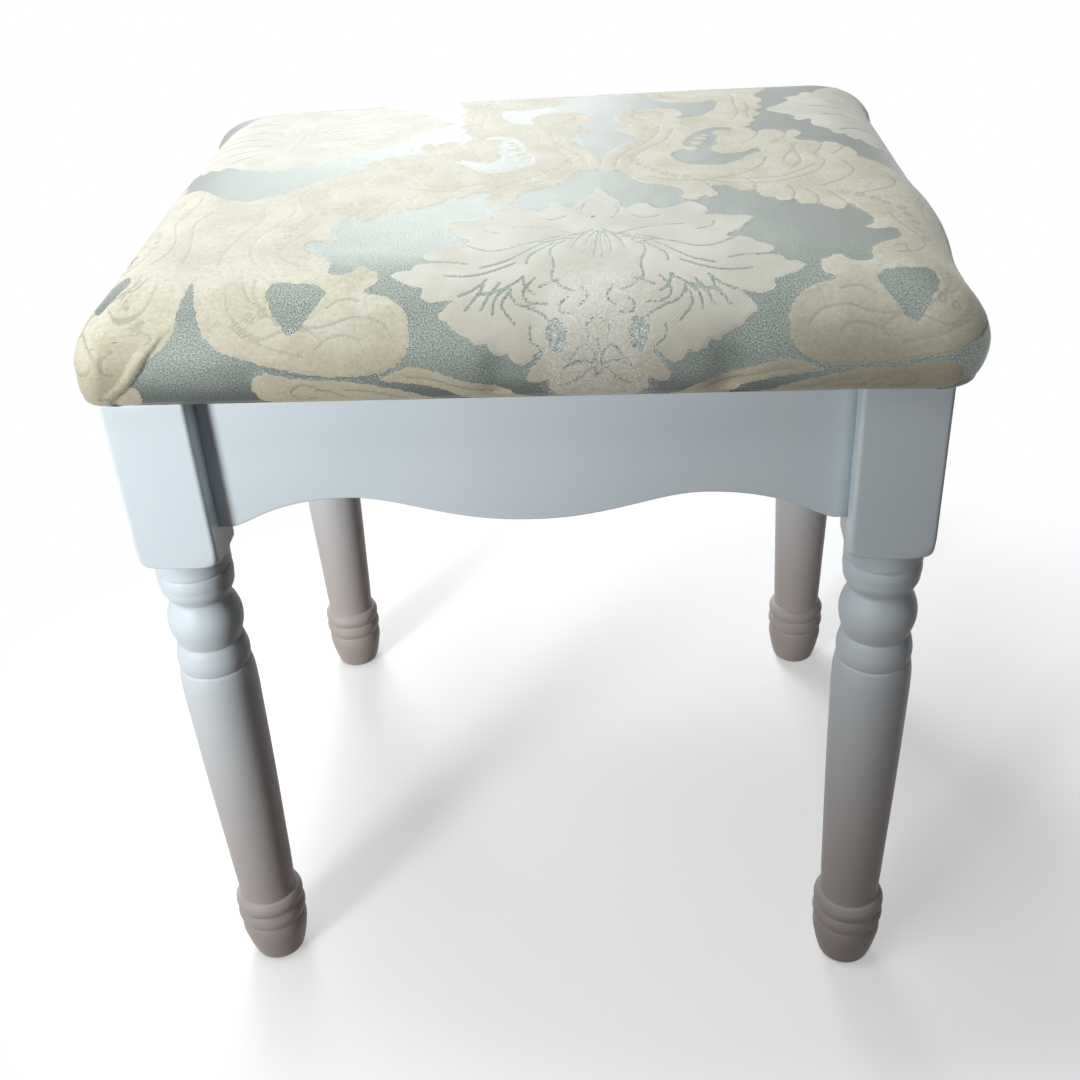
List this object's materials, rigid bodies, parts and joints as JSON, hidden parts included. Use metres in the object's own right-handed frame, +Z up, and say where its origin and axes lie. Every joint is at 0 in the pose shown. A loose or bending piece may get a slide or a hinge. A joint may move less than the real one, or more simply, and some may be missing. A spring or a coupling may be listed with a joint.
{
  "type": "vanity stool",
  "caption": "Upholstered vanity stool: turned legs with square blocks, scalloped aprons and a crowned damask seat pad.",
  "frame": {"origin": "on the floor, at the middle of the four feet, under the middle of the seat", "axes": "+Z up, +X to the right along the seat's long side, -Y towards the front apron"},
  "size_m": [0.4098, 0.3556, 0.4476],
  "materials": {
    "painted_wood": "satin",
    "raw_wood": "matte",
    "seat_board": "matte",
    "foam": "matte",
    "damask": "satin",
    "dust_cloth": "matte",
    "zinc_steel": "satin",
    "glide": "matte"
  },
  "bodies": {
    "root": {"apron_back": "painted_wood", "apron_front": "painted_wood", "apron_left": "painted_wood", "apron_right": "painted_wood", "block_screw_back_left_to_back": "zinc_steel", "block_screw_back_left_to_left": "zinc_steel", "block_screw_back_right_to_back": "zinc_steel", "block_screw_back_right_to_right": "zinc_steel", "block_screw_front_left_to_front": "zinc_steel", "block_screw_front_left_to_left": "zinc_steel", "block_screw_front_right_to_front": "zinc_steel", "block_screw_front_right_to_right": "zinc_steel", "corner_block_back_left": "raw_wood", "corner_block_back_right": "raw_wood", "corner_block_front_left": "raw_wood", "corner_block_front_right": "raw_wood", "damask_cover": "damask", "dowel_back_at_back_left_lower": "raw_wood", "dowel_back_at_back_left_upper": "raw_wood", "dowel_back_at_back_right_lower": "raw_wood", "dowel_back_at_back_right_upper": "raw_wood", "dowel_front_at_front_left_lower": "raw_wood", "dowel_front_at_front_left_upper": "raw_wood", "dowel_front_at_front_right_lower": "raw_wood", "dowel_front_at_front_right_upper": "raw_wood", "dowel_left_at_back_left_lower": "raw_wood", "dowel_left_at_back_left_upper": "raw_wood", "dowel_left_at_front_left_lower": "raw_wood", "dowel_left_at_front_left_upper": "raw_wood", "dowel_right_at_back_right_lower": "raw_wood", "dowel_right_at_back_right_upper": "raw_wood", "dowel_right_at_front_right_lower": "raw_wood", "dowel_right_at_front_right_upper": "raw_wood", "dust_cloth": "dust_cloth", "foam_pad": "foam", "foot_glide_back_left": "glide", "foot_glide_back_right": "glide", "foot_glide_front_left": "glide", "foot_glide_front_right": "glide", "hanger_bolt_back_left": "zinc_steel", "hanger_bolt_back_right": "zinc_steel", "hanger_bolt_front_left": "zinc_steel", "hanger_bolt_front_right": "zinc_steel", "leg_back_left": "painted_wood", "leg_back_right": "painted_wood", "leg_front_left": "painted_wood", "leg_front_right": "painted_wood", "nut_back_left": "zinc_steel", "nut_back_right": "zinc_steel", "nut_front_left": "zinc_steel", "nut_front_right": "zinc_steel", "seat_board": "seat_board", "seat_screw_back_left": "zinc_steel", "seat_screw_back_right": "zinc_steel", "seat_screw_front_left": "zinc_steel", "seat_screw_front_right": "zinc_steel", "washer_back_left": "zinc_steel", "washer_back_right": "zinc_steel", "washer_front_left": "zinc_steel", "washer_front_right": "zinc_steel"}
  },
  "joints": []
}
